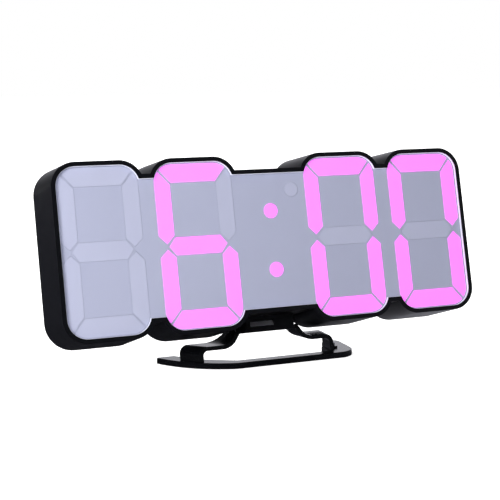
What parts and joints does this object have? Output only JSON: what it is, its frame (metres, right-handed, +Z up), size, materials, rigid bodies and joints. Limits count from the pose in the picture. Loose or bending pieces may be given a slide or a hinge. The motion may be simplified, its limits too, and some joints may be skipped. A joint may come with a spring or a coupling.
{
  "type": "digital wall clock",
  "caption": "Digital clock with large seven-segment digits in one joined black case, back buttons, a coin-cell door, wall keyholes and a slide-out desk stand.",
  "frame": {"origin": "centre of the whole outline, on the surface that the stand rests on", "axes": "+X to the viewer's right along the row of digits, +Y to the back, +Z up; the face looks towards -Y and leans back 15.3 degrees"},
  "size_m": [0.219, 0.053, 0.1036],
  "materials": {
    "case_black": "satin moulded",
    "cover_black": "fine texture",
    "button_black": "satin",
    "clear_window": "clear polished",
    "face_grey": "satin print",
    "segment_lit": "glowing diffuser",
    "segment_dark": "milky diffuser",
    "reflector_white": "glossy white",
    "board_green": "solder mask",
    "screw_steel": "zinc plated",
    "lamp_body": "moulded",
    "chip_black": "moulded",
    "bright_can": "polished can",
    "capacitor_sleeve": "shrunk sleeve",
    "spring_contact": "plated spring strip",
    "stand_paint": "satin paint"
  },
  "bodies": {
    "clock": {"front_case": "case_black", "front_lens": "clear_window", "face_panel": "face_grey", "digit_1_dark_segments": "segment_dark", "digit_2_lit_segments": "segment_lit", "digit_2_dark_segments": "segment_dark", "digit_3_lit_segments": "segment_lit", "digit_3_dark_segments": "segment_dark", "digit_4_lit_segments": "segment_lit", "digit_4_dark_segments": "segment_dark", "colon_dots": "segment_lit", "degree_dot": "segment_dark", "digit_1_reflector": "reflector_white", "digit_2_reflector": "reflector_white", "digit_3_reflector": "reflector_white", "digit_4_reflector": "reflector_white", "colon_reflector": "reflector_white", "main_board": "board_green", "board_screws": "screw_steel", "segment_lamps": "lamp_body", "microcontroller": "chip_black", "lamp_drivers": "chip_black", "clock_crystal": "bright_can", "power_capacitors": "capacitor_sleeve", "alarm_buzzer": "chip_black", "temperature_sensor": "chip_black", "rear_cover": "cover_black", "power_inlet": "chip_black", "button_switches": "chip_black", "switch_board": "board_green", "switch_board_headers": "chip_black", "coin_cell": "bright_can", "cell_minus_contact": "spring_contact", "cell_plus_contact": "spring_contact", "case_screws": "screw_steel", "stand_socket": "case_black"},
    "stand": {"stand_base": "stand_paint", "left_stand_leg": "stand_paint", "right_stand_leg": "stand_paint", "stand_leg_screws": "screw_steel"},
    "set_button": {"set_button": "button_black"},
    "up_button": {"up_button": "button_black"},
    "down_button": {"down_button": "button_black"},
    "battery_door": {"battery_door": "cover_black"}
  },
  "joints": [
    {"name": "stand_slide", "type": "slide", "parent": "clock", "child": "stand", "axis": [0, -0.2639, -0.9646], "range_m": [0, 0.012]},
    {"name": "set_button_press", "type": "slide", "parent": "clock", "child": "set_button", "axis": [0, -0.9646, 0.2639], "range_m": [0, 0.0008], "stiffness_N_per_m": 400, "springref_m": -0.001},
    {"name": "up_button_press", "type": "slide", "parent": "clock", "child": "up_button", "axis": [0, -0.9646, 0.2639], "range_m": [0, 0.0008], "stiffness_N_per_m": 400, "springref_m": -0.001},
    {"name": "down_button_press", "type": "slide", "parent": "clock", "child": "down_button", "axis": [0, -0.9646, 0.2639], "range_m": [0, 0.0008], "stiffness_N_per_m": 400, "springref_m": -0.001},
    {"name": "battery_door_turn", "type": "hinge", "parent": "clock", "child": "battery_door", "pos_m": [-0.062, 0.00931, 0.04194], "axis": [0, 0.9646, -0.2639], "range_deg": [0, 60]}
  ]
}
